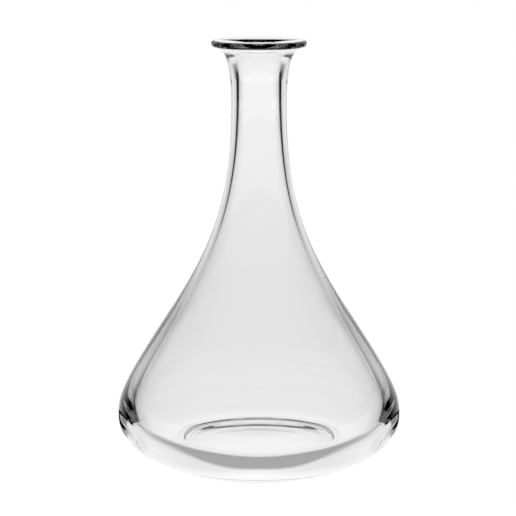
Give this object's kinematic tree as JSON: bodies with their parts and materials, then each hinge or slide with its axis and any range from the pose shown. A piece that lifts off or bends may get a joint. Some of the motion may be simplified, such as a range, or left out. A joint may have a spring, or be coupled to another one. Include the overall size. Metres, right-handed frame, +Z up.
{
  "type": "wine decanter",
  "caption": "Clear blown-glass wine decanter with a wide low belly, a tall tapering neck and a flared pouring lip.",
  "frame": {"origin": "centre of the circle that the decanter rests on, at table level", "axes": "+Z up along the axis of the belly and the neck; the vessel is the same all round"},
  "size_m": [0.1896, 0.1896, 0.2817],
  "materials": {
    "clear_glass": "fire-polished, clear and colourless"
  },
  "bodies": {
    "root": {"base": "clear_glass", "bowl": "clear_glass", "neck": "clear_glass", "lip": "clear_glass"}
  },
  "joints": []
}
